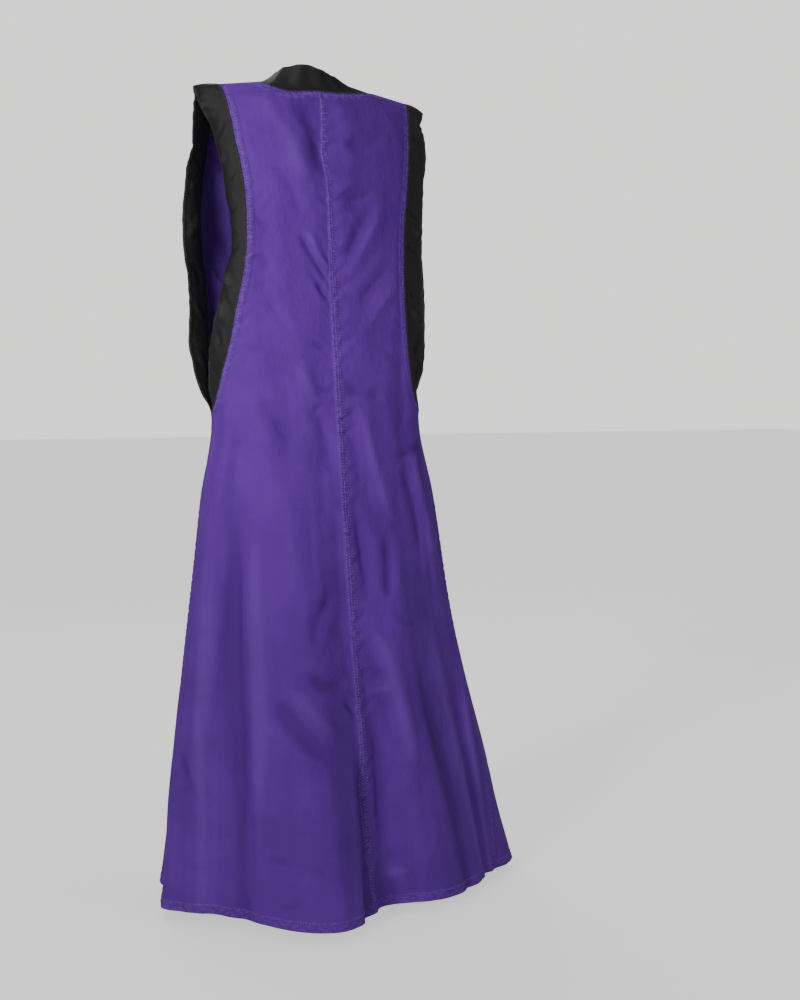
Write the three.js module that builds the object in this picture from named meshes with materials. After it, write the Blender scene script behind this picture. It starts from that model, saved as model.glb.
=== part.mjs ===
// A sideless medieval over-dress, filled out as it is worn, with nobody in it. The front and the
// back are two purple pieces each, joined down the middle. Black bands edge the two deep armholes
// and stand round the neck. Every piece is one wall of cloth, and the pieces keep a hair's breadth
// apart where they are sewn. Each panel is an upper wall and a skirt wall, which meet level with the
// foot of the armholes.
//
// Millimetres. +X is the wearer's left, +Y the back and +Z up. The origin is on the line of the
// shoulders, where the wearer carries the dress. "Drop" is the depth below that line, and an angle
// goes round the body: 0 at the left side, 90 at the back, 180 at the right side, 270 at the front.
import * as THREE from 'three';

const LENGTH = 1400; // shoulder line to hem
const ARMHOLE_DROP = 578; // shoulder line to the bottom of each armhole
const ARMHOLE_BEND = 460; // where the armhole starts to turn towards its bottom
const PANEL_CLOTH = 1.6;
const BAND_CLOTH = 2.4; // the bands are folded double
const SEAM_GAP = 0.3;

const NECK = { centre: -3, left: 100, right: 130, back: 24, front: 125 }; // half widths and drops
const SHOULDER = { levelHalf: 115, fall: 9 / 65, fade: 350 }; // level, then sloping, then faded out
const SIDE_SEAM = {
  left: { start: -15, hem: -14, power: 1 }, // degrees from the side towards the back
  right: { start: 10, hem: 36, power: 1.3 },
};

const CREST_DROPS = [0, 2, 6, 12]; // rows over the rounded top of the shoulder
const ROWS = { neckline: 7, chest: 9, bend: 6, skirt: 14 };
const COLUMNS = { backLeft: 14, backRight: 11, frontLeft: 11, frontRight: 19 };
const BAND_COLUMNS = 5;
const SEAM_SPAN = { most: 12, least: 1 }; // a seam's direction is taken over this much drop each way
const NECK_BAND_ROWS = 4;
const NECK_BAND_LIFT = 18; // how far the neck band runs on flat before it stands up
const BAND_SPLITS = { left: 372, right: 130 }; // crosswise seams in the two back bands

// The body of the dress, section by section. Squareness 2 is an ellipse and more is boxier.
const SECTIONS = tableOf('drop halfWidth back front centreX centreY squareness seamAngle', [
  [0, 198, 0, 0, -18, 0, 2.4, 85.5],
  [1.5, 198, 16, 14, -18, 0, 2.4, 85.5],
  [6, 198, 32, 28, -18, 0, 2.4, 85.5],
  [16, 198, 48, 44, -18, 0, 2.4, 85.5],
  [32, 198, 62, 60, -18, 0, 2.5, 85.5],
  [60, 198, 72, 78, -18, 0, 2.6, 85.5],
  [104, 198, 80, 95, -15, 2, 2.8, 85.6],
  [190, 198, 90, 108, -10, 7, 2.9, 86.8],
  [292, 197, 94, 113, -6, 14, 2.8, 87.7],
  [377, 196, 98, 112, -5, 20, 2.6, 88],
  [462, 197, 102, 111, -6, 25, 2.4, 87.8],
  [575, 195, 110, 113, -9, 30, 2.2, 86.6],
  [715, 220, 124, 124, -8, 36, 2.1, 86.7],
  [883, 246, 144, 142, -10, 42, 2, 86.2],
  [1050, 274, 163, 162, -16, 46, 2, 85.3],
  [1216, 306, 185, 184, -28, 48, 2, 83.5],
  [1300, 319, 194, 196, -35, 49, 2, 82],
  [1400, 337, 206, 210, -43, 50, 2, 80.9],
]);

// The folds of the skirt: each is one soft wave that grows from its start to the hem. A negative
// height is a hollow. The widths are half widths in degrees, before and after the middle.
const FOLDS = [
  // hem, top, before, after, height, start, power
  [66, 61, 30, 20, 90, 500, 1.5], // left back bulge
  [26, 30, 15, 15, -18, 420, 1], // left side hollow
  [2, 4, 11, 10, 12, 800, 1.2], // left side wave
  [87, 92, 8, 13, -14, 700, 1.2], // dip beside the back seam
  [106, 102, 14, 16, 12, 640, 1.2], // right back wave
  [138, 122, 22, 20, -24, 620, 1.2], // right back hollow
  [167, 172, 13, 14, 11, 820, 1.1], // right side wave
  [205, 204, 14, 14, 34, 600, 1.2], // front waves, with a hollow between them
  [235, 236, 14, 14, 30, 600, 1.2],
  [262, 264, 13, 13, -16, 600, 1.2],
  [290, 288, 15, 15, 32, 600, 1.2],
  [320, 318, 14, 14, 30, 600, 1.2],
  [343, 342, 12, 10, -14, 600, 1.2], // left front hollow
];

// Where the armhole is sewn: degrees from the side line, towards the middle of that panel.
const ARMHOLE = tableOf('drop leftBack leftFront rightBack rightFront', [
  [0, 26, 26, 26, 26],
  [8, 26.5, 26.5, 29, 27],
  [24, 28.5, 28, 33, 29],
  [56, 32, 31, 38, 33],
  [100, 36.5, 36.5, 41.5, 37],
  [145, 40.5, 36, 44, 38],
  [190, 42.8, 32, 46.5, 36],
  [232, 43.5, 30.5, 48.4, 35],
  [284, 43, 33, 49, 36],
  [332, 40, 36.5, 48.8, 37],
  [380, 34.6, 37.5, 48, 37],
  [450, 26, 35, 46.3, 33],
  [502, 15, 29, 43.5, 26],
  [545, 2, 24, 38, 15],
  [562, -5, 20.5, 28, 5],
  [573, -11, 17, 17, -4],
  [578, -15, 15, 10, -10],
]);

// The armhole bands: width, and how many degrees each band curls in across its width.
const ARM_BANDS = tableOf('drop width leftBack leftFront rightBack rightFront', [
  [0, 45, 20, 20, 40, 40],
  [24, 48, 30, -10, 8, 5],
  [56, 50, 62, -15, -10, 0],
  [100, 50, 78, -6, -14, 0],
  [145, 50, 88, -30, 0, 0],
  [190, 50, 86, -45, 0, 0],
  [232, 50, 105, -60, -4, -10],
  [284, 50, 115, -50, -5, -10],
  [332, 50, 80, -30, -15, -20],
  [380, 50, 65, -30, -20, -25],
  [425, 50, 45, -40, -15, -30],
  [462, 50, 38, -50, -10, -35],
  [495, 46, 25, -45, -5, -30],
  [522, 34, 0, -60, 0, -30],
  [545, 22, -20, -65, 10, -20],
  [562, 9, 0, -40, 5, 0],
  [573, 4.5, 0, 0, 0, 0],
  [578, 3, 0, 0, 0, 0],
]);

// The free edge of the neck band, round the neck by angle, from the middle of the neck.
const NECK_EDGE = tableOf('angle x y z', [
  [0, 62, -2, 17],
  [45, 51, 38, 26],
  [75, 26, 55, 28],
  [105, -12, 57, 18],
  [135, -46, 40, 8],
  [160, -66, 20, 3],
  [180, -80, -2, 2],
  [215, -70, -42, -16],
  [245, -42, -78, -54],
  [270, 0, -90, -74],
  [295, 34, -78, -54],
  [325, 54, -42, -12],
]);

// ---- Tables ----------------------------------------------------------------------------------

function tableOf(names, rows) {
  const columns = names.split(' ').map((name, i) => [name, rows.map((row) => row[i])]);
  return Object.fromEntries(columns);
}

// A smooth curve through (xs, ys) that never swings past its points.
function smoothCurve(xs, ys, x) {
  const last = xs.length - 1;
  const at = THREE.MathUtils.clamp(x, xs[0], xs[last]);
  const steps = xs.slice(1).map((value, i) => value - xs[i]);
  const rises = steps.map((step, i) => (ys[i + 1] - ys[i]) / step);
  const slopeAt = (i) => {
    if (i === 0) return rises[0];
    if (i === last) return rises[last - 1];
    if (rises[i - 1] * rises[i] <= 0) return 0;
    const before = 2 * steps[i] + steps[i - 1];
    const after = steps[i] + 2 * steps[i - 1];
    return (before + after) / (before / rises[i - 1] + after / rises[i]);
  };
  const i = Math.min(xs.findLastIndex((value) => value <= at), last - 1);
  const t = (at - xs[i]) / steps[i];
  return hermite(t, ys[i], ys[i + 1], slopeAt(i) * steps[i], slopeAt(i + 1) * steps[i]);
}

function hermite(t, from, to, slopeFrom, slopeTo) {
  const rest = 1 - t;
  const ends = from * rest * rest * (1 + 2 * t) + to * t * t * (3 - 2 * t);
  return ends + slopeFrom * t * rest * rest - slopeTo * t * t * rest;
}

function read(table, column, drop) {
  return smoothCurve(table.drop, table[column], drop);
}

// The same for a table that goes once round by angle.
function readRound(table, column, angle) {
  const count = table.angle.length;
  const turn = (i) => table.angle[(i + count) % count] + 360 * Math.floor(i / count);
  const value = (i) => table[column][(i + count) % count];
  const i = table.angle.findLastIndex((start) => start <= angle);
  const slope = (k) => (value(k + 1) - value(k - 1)) / (turn(k + 1) - turn(k - 1));
  const step = turn(i + 1) - turn(i);
  return hermite((angle - turn(i)) / step, value(i), value(i + 1), slope(i) * step, slope(i + 1) * step);
}

// ---- The surface of the dress ----------------------------------------------------------------

function foldHeight(angle, drop) {
  let height = 0;
  for (const [hem, top, before, after, peak, start, power] of FOLDS) {
    const grown = Math.max(0, (drop - start) / (LENGTH - start));
    const middle = top + (hem - top) * grown;
    const away = THREE.MathUtils.euclideanModulo(angle - middle + 180, 360) - 180;
    const part = away / (away < 0 ? before : after);
    if (Math.abs(part) < 1) height += (peak * grown ** power * (1 + Math.cos(Math.PI * part))) / 2;
  }
  return height;
}

function shoulderHeight(sideways, drop) {
  const fade = 1 - THREE.MathUtils.smoothstep(drop, 0, SHOULDER.fade);
  return -SHOULDER.fall * Math.max(0, Math.abs(sideways) - SHOULDER.levelHalf) * fade;
}

function surface(angle, drop) {
  const turn = THREE.MathUtils.degToRad(angle);
  const cos = Math.cos(turn);
  const sin = Math.sin(turn);
  const halfWidth = read(SECTIONS, 'halfWidth', drop);
  const depth = read(SECTIONS, sin >= 0 ? 'back' : 'front', drop);
  const power = read(SECTIONS, 'squareness', drop);
  const reach = (Math.abs(cos) ** power + Math.abs(sin) ** power) ** (-1 / power);
  const sideways = halfWidth * reach * cos;
  const out = new THREE.Vector2(cos / halfWidth, sin / Math.max(depth, 1));
  out.normalize().multiplyScalar(foldHeight(angle, drop));
  return new THREE.Vector3(
    read(SECTIONS, 'centreX', drop) + sideways + out.x,
    read(SECTIONS, 'centreY', drop) + depth * reach * sin + out.y,
    shoulderHeight(sideways, drop) - drop,
  );
}

function outwardNormal(angle, drop) {
  if (drop === 0) return new THREE.Vector3(0, 0, 1);
  const across = surface(angle + 0.5, drop).sub(surface(angle - 0.5, drop));
  const down = surface(angle, drop + 1).sub(surface(angle, drop - 1));
  return down.cross(across).normalize();
}

function sampleAt(angle, drop) {
  return { point: surface(angle, drop), normal: outwardNormal(angle, drop) };
}

// The angle at which the dress is x from the middle plane, at that drop.
function angleOfX(x, drop, face) {
  const aside = (x - read(SECTIONS, 'centreX', drop)) / read(SECTIONS, 'halfWidth', drop);
  const power = read(SECTIONS, 'squareness', drop);
  const turn = Math.atan(((1 / Math.abs(aside)) ** power - 1) ** (1 / power));
  const fromSide = THREE.MathUtils.radToDeg(turn);
  return onFace(aside > 0 ? 'left' : 'right', face, fromSide);
}

// Turns degrees from a side line, towards the back or front, into an angle round the body.
function onFace(side, face, fromSide) {
  const towards = face === 'back' ? fromSide : -fromSide;
  return side === 'left' ? towards : 180 - towards;
}

// ---- Edges of the pieces ---------------------------------------------------------------------

function centreAngle(face, drop) {
  const back = read(SECTIONS, 'seamAngle', drop);
  return face === 'back' ? back : -back;
}

// The neckline, and below it the middle of the panel.
function innerAngle(side, face, drop) {
  if (drop >= NECK[face]) return turned(side, face, centreAngle(face, drop));
  const half = NECK[side] * Math.sqrt(1 - (drop / NECK[face]) ** 2);
  const x = side === 'left' ? NECK.centre + half : NECK.centre - half;
  return turned(side, face, angleOfX(x, drop, face));
}

// The armhole, and below it the side seam.
function outerAngle(side, face, drop) {
  if (drop <= ARMHOLE_DROP) return armholeAngle(side, face, drop);
  const seam = SIDE_SEAM[side];
  const grown = ((drop - ARMHOLE_DROP) / (LENGTH - ARMHOLE_DROP)) ** seam.power;
  return onFace(side, 'back', seam.start + (seam.hem - seam.start) * grown);
}

function armholeAngle(side, face, drop) {
  const column = side + (face === 'back' ? 'Back' : 'Front');
  return onFace(side, face, read(ARMHOLE, column, drop));
}

// Keeps a right front angle on the same turn as the right side line.
function turned(side, face, angle) {
  return side === 'right' && face === 'front' ? THREE.MathUtils.euclideanModulo(angle, 360) : angle;
}

function dropsOf(face) {
  const crest = CREST_DROPS.at(-1);
  const quarter = (from, to, count) =>
    evenSteps(count).map((part) => from + (to - from) * Math.sin((part * Math.PI) / 2));
  const straight = (from, to, count) => evenSteps(count).map((part) => from + (to - from) * part);
  return [
    ...CREST_DROPS,
    ...quarter(0, NECK[face], ROWS.neckline).filter((drop) => drop > crest + 1),
    ...straight(NECK[face], ARMHOLE_BEND, ROWS.chest),
    ...quarter(ARMHOLE_BEND, ARMHOLE_DROP, ROWS.bend),
    ...straight(ARMHOLE_DROP, LENGTH, ROWS.skirt),
  ];
}

function evenSteps(count) {
  return Array.from({ length: count }, (_, i) => (i + 1) / count);
}

// ---- Walls of cloth --------------------------------------------------------------------------

// Closes a sheet of samples into one solid wall. Samples at the same place become one corner.
function wall(name, sheet, thickness, material) {
  const places = new Map();
  const samples = [];
  const triangles = [];
  const cornerOf = (sample) => {
    const key = sample.point.toArray().map((value) => value.toFixed(3)).join();
    if (!places.has(key)) places.set(key, samples.push(sample) - 1);
    return places.get(key);
  };
  const corners = sheet.map((row) => row.map(cornerOf));
  for (let i = 0; i + 1 < corners.length; i++) {
    for (let j = 0; j + 1 < corners[i].length; j++) {
      const cell = [corners[i][j], corners[i][j + 1], corners[i + 1][j + 1], corners[i + 1][j]];
      triangles.push(...splitCell(cell, samples));
    }
  }
  const faces = closeWall(triangles, samples);
  const half = thickness / 2;
  const moved = (offset) => samples.map(({ point, normal }) => point.clone().addScaledVector(normal, offset));
  const sides = [...moved(half), ...moved(-half)];
  const geometry = new THREE.BufferGeometry().setFromPoints(sides);
  geometry.setIndex(faces.flat());
  geometry.computeVertexNormals();
  const mesh = new THREE.Mesh(geometry, material);
  mesh.name = name;
  return mesh;
}

// Two triangles across the shorter diagonal, facing the way the samples' normals point.
function splitCell([a, b, c, d], samples) {
  const at = (i) => samples[i].point;
  const acrossAC = at(a).distanceTo(at(c)) < at(b).distanceTo(at(d));
  const halves = acrossAC ? [[a, b, c], [a, c, d]] : [[a, b, d], [b, c, d]];
  return halves
    .filter((corner) => new Set(corner).size === 3)
    .map(([p, q, r]) => {
      const facing = at(q).clone().sub(at(p)).cross(at(r).clone().sub(at(p)));
      return facing.dot(samples[p].normal) > 0 ? [p, q, r] : [p, r, q];
    });
}

// Outer faces, inner faces, and a strip along each edge that only one face uses. Two pieces that
// share a seam split its strips alike, from the outer corner above to the inner one below.
function closeWall(triangles, samples) {
  const count = samples.length;
  const edges = triangles.flatMap(([a, b, c]) => [[a, b], [b, c], [c, a]]);
  const known = new Set(edges.map(([from, to]) => `${from} ${to}`));
  const rim = edges.filter(([from, to]) => !known.has(`${to} ${from}`));
  return [
    ...triangles,
    ...triangles.map(([a, b, c]) => [c + count, b + count, a + count]),
    ...rim.flatMap(([from, to]) =>
      samples[from].point.z > samples[to].point.z
        ? [[to, from, to + count], [from, from + count, to + count]]
        : [[to, from, from + count], [to, from + count, to + count]],
    ),
  ];
}

// ---- Panels ----------------------------------------------------------------------------------

// Half of the back or front, from the middle out to the armhole and the side seam.
function halfPanel(side, face, columns) {
  return dropsOf(face).map((drop) => {
    const inner = innerAngle(side, face, drop);
    const outer = outerAngle(side, face, drop);
    const parts = [0, ...evenSteps(columns - 1)];
    const row = parts.map((part) => sampleAt(inner + (outer - inner) * part, drop));
    if (drop >= NECK[face]) insetEnd(row, 0, 1);
    if (drop >= ARMHOLE_DROP) insetEnd(row, row.length - 1, row.length - 2);
    if (drop === 0) row.forEach(({ point }) => (point.y = (face === 'back' ? SEAM_GAP : -SEAM_GAP) / 2));
    return row;
  });
}

function insetEnd(row, end, next) {
  row[end].point.add(shortStep(row[end], row[next]));
}

function shortStep(from, to) {
  return to.point.clone().sub(from.point).setLength(SEAM_GAP / 2);
}

// Parts a panel at the foot of the armholes, half a seam gap to either side.
function partPanel(rows, drops) {
  const foot = drops.indexOf(ARMHOLE_DROP);
  const edgeTowards = (neighbour) =>
    rows[foot].map((sample, j) => ({
      point: sample.point.clone().add(shortStep(sample, rows[neighbour][j])),
      normal: sample.normal,
    }));
  return {
    upper: [...rows.slice(0, foot), edgeTowards(foot - 1)],
    skirt: [edgeTowards(foot + 1), ...rows.slice(foot + 1)],
  };
}

// ---- Bands -----------------------------------------------------------------------------------

// A place on a seam, with the directions along the seam, off the panel towards `target`, and out.
function seamFrame({ point, normal }, along, target) {
  const across = along.clone().cross(normal).normalize();
  if (across.dot(target.sub(point)) < 0) across.negate();
  return { point, normal, along: along.normalize(), across };
}

// Gives each strip point its normal, turned to the same side as its seam's normal.
function stripSheet(strips, frames, closed) {
  const count = strips.length;
  return strips.map((strip, i) => {
    const before = strips[closed ? (i + count - 1) % count : Math.max(i - 1, 0)];
    const after = strips[closed ? (i + 1) % count : Math.min(i + 1, count - 1)];
    const hand = frames[i].along.clone().cross(frames[i].across).dot(frames[i].normal) > 0 ? 1 : -1;
    const atEnd = before === strip || after === strip;
    return strip.map((point, k) => {
      if (k === 0) return { point, normal: frames[i].normal };
      const along = atEnd ? frames[i].along : after[k].clone().sub(before[k]);
      const across = strip[Math.min(k + 1, strip.length - 1)].clone().sub(strip[k - 1]);
      return { point, normal: along.clone().cross(across).normalize().multiplyScalar(hand) };
    });
  });
}

function armholeFrames(side, face) {
  const seam = (drop) => surface(outerAngle(side, face, drop), drop);
  const drops = dropsOf(face).filter((drop) => drop <= ARMHOLE_DROP);
  return drops.map((drop) => {
    const sample = sampleAt(outerAngle(side, face, drop), drop);
    const span = Math.max(SEAM_SPAN.least, Math.min(SEAM_SPAN.most, drop / 2, (ARMHOLE_DROP - drop) / 2));
    const along = seam(Math.min(drop + span, ARMHOLE_DROP)).sub(seam(Math.max(drop - span, 0)));
    if (drop === 0 || drop === ARMHOLE_DROP) along.z = 0;
    return { ...seamFrame(sample, along, insideArmhole(side, drop - SEAM_SPAN.most)), drop };
  });
}

// A place in the middle of the armhole.
function insideArmhole(side, drop) {
  const level = Math.max(0, drop);
  return surface((armholeAngle(side, 'back', level) + armholeAngle(side, 'front', level)) / 2, level);
}

// One strip across the band, curling in towards the body.
function curledStrip(frame, width, curl) {
  const step = width / BAND_COLUMNS;
  const strip = [frame.point.clone().addScaledVector(frame.across, SEAM_GAP)];
  for (let k = 0; k < BAND_COLUMNS; k++) {
    const turn = THREE.MathUtils.degToRad(curl) * ((k + 0.5) / BAND_COLUMNS);
    const next = strip[k].clone().addScaledVector(frame.across, step * Math.cos(turn));
    strip.push(next.addScaledVector(frame.normal, -step * Math.sin(turn)));
  }
  return strip;
}

// An armhole band, or the stretch of it between two drops.
function armholeBand(side, face, from, to) {
  const column = side + (face === 'back' ? 'Back' : 'Front');
  const frames = armholeFrames(side, face).filter(({ drop }) => drop >= from && drop <= to);
  const strips = frames.map((frame) =>
    curledStrip(frame, read(ARM_BANDS, 'width', frame.drop), read(ARM_BANDS, column, frame.drop)),
  );
  const shorten = (i, sign) =>
    strips[i].forEach((point) => point.addScaledVector(frames[i].along, (sign * SEAM_GAP) / 2));
  shorten(0, 1);
  shorten(strips.length - 1, -1);
  return stripSheet(strips, frames, false);
}

// The drop of the row of a back panel that is nearest to a crosswise seam.
function rowNear(drop) {
  return dropsOf('back').reduce((best, row) => (Math.abs(row - drop) < Math.abs(best - drop) ? row : best));
}

// The neck seam, once round: left shoulder, back, right shoulder, front.
function neckFrames() {
  const quarter = (side, face) =>
    dropsOf(face)
      .filter((drop) => drop <= NECK[face])
      .map((drop) => ({ ...sampleAt(innerAngle(side, face, drop), drop), turn: neckTurn(side, face, drop) }));
  const samples = [
    ...quarter('left', 'back'),
    ...quarter('right', 'back').reverse().slice(1),
    ...quarter('right', 'front').slice(1),
    ...quarter('left', 'front').reverse().slice(1, -1),
  ];
  const count = samples.length;
  return samples.map((sample, i) => {
    const along = samples[(i + 1) % count].point.clone().sub(samples[(i + count - 1) % count].point);
    const middle = new THREE.Vector3(NECK.centre, 0, sample.point.z);
    return { ...seamFrame(sample, along, middle), turn: sample.turn };
  });
}

function neckTurn(side, face, drop) {
  const quarter = THREE.MathUtils.radToDeg(Math.asin(Math.min(1, drop / NECK[face])));
  return THREE.MathUtils.euclideanModulo(onFace(side, face, quarter), 360);
}

function neckBand() {
  const frames = neckFrames();
  const strips = frames.map(({ point, across, turn }) => {
    const start = point.clone().addScaledVector(across, SEAM_GAP);
    const rise = point.clone().addScaledVector(across, NECK_BAND_LIFT);
    const edge = new THREE.Vector3(
      NECK.centre + readRound(NECK_EDGE, 'x', turn),
      readRound(NECK_EDGE, 'y', turn),
      readRound(NECK_EDGE, 'z', turn),
    );
    return new THREE.QuadraticBezierCurve3(start, rise, edge).getPoints(NECK_BAND_ROWS - 1);
  });
  const sheet = stripSheet(strips, frames, true);
  return [...sheet, sheet[0]];
}

// ---- The dress -------------------------------------------------------------------------------

const purpleCotton = () => new THREE.MeshStandardMaterial({ color: '#5f479b', roughness: 0.9, metalness: 0 });
const blackCotton = () => new THREE.MeshStandardMaterial({ color: '#26272b', roughness: 0.75, metalness: 0 });

function addPanel(group, face, side, columns) {
  const { upper, skirt } = partPanel(halfPanel(side, face, columns), dropsOf(face));
  group.add(wall(`${face}_${side}_upper`, upper, PANEL_CLOTH, purpleCotton()));
  group.add(wall(`${face}_${side}_skirt`, skirt, PANEL_CLOTH, purpleCotton()));
}

function addBand(group, name, sheet) {
  group.add(wall(name, sheet, BAND_CLOTH, blackCotton()));
}

function buildDress() {
  const dress = new THREE.Group();
  dress.name = 'medieval_dress';
  addPanel(dress, 'back', 'left', COLUMNS.backLeft);
  addPanel(dress, 'back', 'right', COLUMNS.backRight);
  addPanel(dress, 'front', 'left', COLUMNS.frontLeft);
  addPanel(dress, 'front', 'right', COLUMNS.frontRight);
  for (const side of ['left', 'right']) {
    const split = rowNear(BAND_SPLITS[side]);
    addBand(dress, `${side}_back_band_upper`, armholeBand(side, 'back', 0, split));
    addBand(dress, `${side}_back_band_lower`, armholeBand(side, 'back', split, ARMHOLE_DROP));
    addBand(dress, `${side}_front_band`, armholeBand(side, 'front', 0, ARMHOLE_DROP));
  }
  addBand(dress, 'neck_band', neckBand());
  return dress;
}

export default buildDress();
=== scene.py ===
"""The medieval dress: cloth, seams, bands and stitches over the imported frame, on a plain floor.

The shape follows the part's own numbers. Lengths are in millimetres until a mesh is made. +X is the
wearer's left, +Y the back and +Z up. "Drop" is the depth below the shoulder line, and an angle goes
round the body: 0 at the left side, 90 at the back, 180 at the right side, 270 at the front.
"""

import bpy
import numpy as np
from mathutils import Matrix, Vector


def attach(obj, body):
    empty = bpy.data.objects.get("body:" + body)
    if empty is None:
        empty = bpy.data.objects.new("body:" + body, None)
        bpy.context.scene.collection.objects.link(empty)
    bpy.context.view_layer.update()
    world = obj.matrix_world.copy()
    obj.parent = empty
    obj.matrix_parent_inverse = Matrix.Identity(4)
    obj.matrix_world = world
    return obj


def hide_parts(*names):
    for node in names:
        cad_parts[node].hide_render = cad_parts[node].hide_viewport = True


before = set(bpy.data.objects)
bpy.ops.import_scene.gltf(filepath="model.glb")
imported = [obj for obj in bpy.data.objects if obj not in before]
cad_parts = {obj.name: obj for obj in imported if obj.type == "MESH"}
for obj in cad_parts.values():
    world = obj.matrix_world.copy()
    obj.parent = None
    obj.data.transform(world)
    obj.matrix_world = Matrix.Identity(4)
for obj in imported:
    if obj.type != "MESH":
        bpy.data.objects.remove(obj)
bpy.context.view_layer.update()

MM = 0.001
LENGTH = 1400.0
ARMHOLE_DROP = 578.0
ARMHOLE_BEND = 460.0
PANEL_CLOTH = 1.6
BAND_CLOTH = 2.4
SEAM_GAP = 0.3
NECK = {"centre": -3.0, "left": 100.0, "right": 130.0, "back": 24.0, "front": 125.0}
SHOULDER = {"level_half": 115.0, "fall": 9 / 65, "fade": 350.0}
SIDE_SEAM = {"left": (-15.0, -14.0, 1.0), "right": (10.0, 36.0, 1.3)}
SEAM_SPAN = 12.0
NECK_BAND_LIFT = 18.0
BAND_SPLITS = {"left": 363.1, "right": 120.9}
HEM_STITCH = 14.0
SEAM_STITCH = 4.2
NECK_STITCH = 5.0
ARMHOLE_STITCH = 4.5
SECOND_STITCH = {"way": 9.4, "from": 400.0}
BAND_STITCH = {"run": 3.0, "from_outer": 3.2}
NECK_BAND_STITCH_ROWS = (1, 14)
NECK_EASE = 3.0
CREASE_DEPTH = 1.3
BAND_CREASE_DEPTH = 1.8
# Strength of the painted shade on the upper back, taken off the crease values that tint the cloth.
BACK_SHADE_PAINT = 4.5
NECK_RISE = 8.5
MIDDLE_GROOVE = {"left": 0.5, "right": 1.1}
SEEDS = {"creases": 7, "back_middle": 3, "front_middle": 4, "armhole": 5, "armhole_slow": 6, "neck": 8,
         "side": 9, "back_hem": 11, "front_hem": 12, "band_seam": 15, "band": 21, "slow": 40}


def numbers(text):
    """The rows of a table: a semicolon or the end of a line parts two rows, a space parts two values."""
    rows = text.strip().replace("\n", ";").split(";")
    return [[float(value) for value in row.split()] for row in rows]


def table_of(names, text):
    rows = numbers(text)
    return {name: np.array([row[i] for row in rows]) for i, name in enumerate(names.split())}


SECTIONS = table_of("drop half_width back front centre_x centre_y squareness seam_angle", """
    0 198 0 0 -18 0 2.4 85.5; 1.5 198 16 14 -18 0 2.4 85.5; 6 198 32 28 -18 0 2.4 85.5
    16 198 48 44 -18 0 2.4 85.5; 32 198 62 60 -18 0 2.5 85.5; 60 198 72 78 -18 0 2.6 85.5
    104 198 80 95 -15 2 2.8 85.6; 190 198 90 108 -10 7 2.9 86.8; 292 197 94 113 -6 14 2.8 87.7
    377 196 98 112 -5 20 2.6 88; 462 197 102 111 -6 25 2.4 87.8; 575 195 110 113 -9 30 2.2 86.6
    715 220 124 124 -8 36 2.1 86.7; 883 246 144 142 -10 42 2 86.2; 1050 274 163 162 -16 46 2 85.3
    1216 306 185 184 -28 48 2 83.5; 1300 319 194 196 -35 49 2 82; 1400 337 206 210 -43 50 2 80.9""")

# Folds: angle at the hem and at the top, half widths before and after, height, start drop, power.
FOLDS = numbers("""
    66 61 30 20 90 500 1.5; 26 30 15 15 -18 420 1; 2 4 11 10 12 800 1.2; 87 92 8 13 -14 700 1.2
    106 102 14 16 12 640 1.2; 138 122 22 20 -24 620 1.2; 167 172 13 14 11 820 1.1
    205 204 14 14 34 600 1.2; 235 236 14 14 30 600 1.2; 262 264 13 13 -16 600 1.2
    290 288 15 15 32 600 1.2; 320 318 14 14 30 600 1.2; 343 342 12 10 -14 600 1.2""")

ARMHOLE = table_of("drop left_back left_front right_back right_front", """
    0 26 26 26 26; 8 26.5 26.5 29 27; 24 28.5 28 33 29; 56 32 31 38 33; 100 36.5 36.5 41.5 37
    145 40.5 36 44 38; 190 42.8 32 46.5 36; 232 43.5 30.5 48.4 35; 284 43 33 49 36; 332 40 36.5 48.8 37
    380 34.6 37.5 48 37; 450 26 35 46.3 33; 502 15 29 43.5 26; 545 2 24 38 15; 562 -5 20.5 28 5
    573 -11 17 17 -4; 578 -15 15 10 -10""")

ARM_BANDS = table_of("drop width left_back left_front right_back right_front", """
    0 45 20 20 40 40; 24 48 30 -10 8 5; 56 50 62 -15 -10 0; 100 50 78 -6 -14 0; 145 50 88 -30 0 0
    190 50 86 -45 0 0; 232 50 105 -60 -4 -10; 284 50 115 -50 -5 -10; 332 50 80 -30 -15 -20
    380 50 65 -30 -20 -25; 425 50 45 -40 -15 -30; 462 50 38 -50 -10 -35; 495 46 25 -45 -5 -30
    522 34 0 -60 0 -30; 545 22 -20 -65 10 -20; 562 9 0 -40 5 0; 573 4.5 0 0 0 0; 578 3 0 0 0 0""")

NECK_EDGE = table_of("angle x y z", """
    0 62 -2 17; 45 51 38 26; 75 26 55 28; 105 -12 57 18; 135 -46 40 8; 160 -66 20 3; 180 -80 -2 2
    215 -70 -42 -16; 245 -42 -78 -54; 270 0 -90 -74; 295 34 -78 -54; 325 54 -42 -12""")

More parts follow.
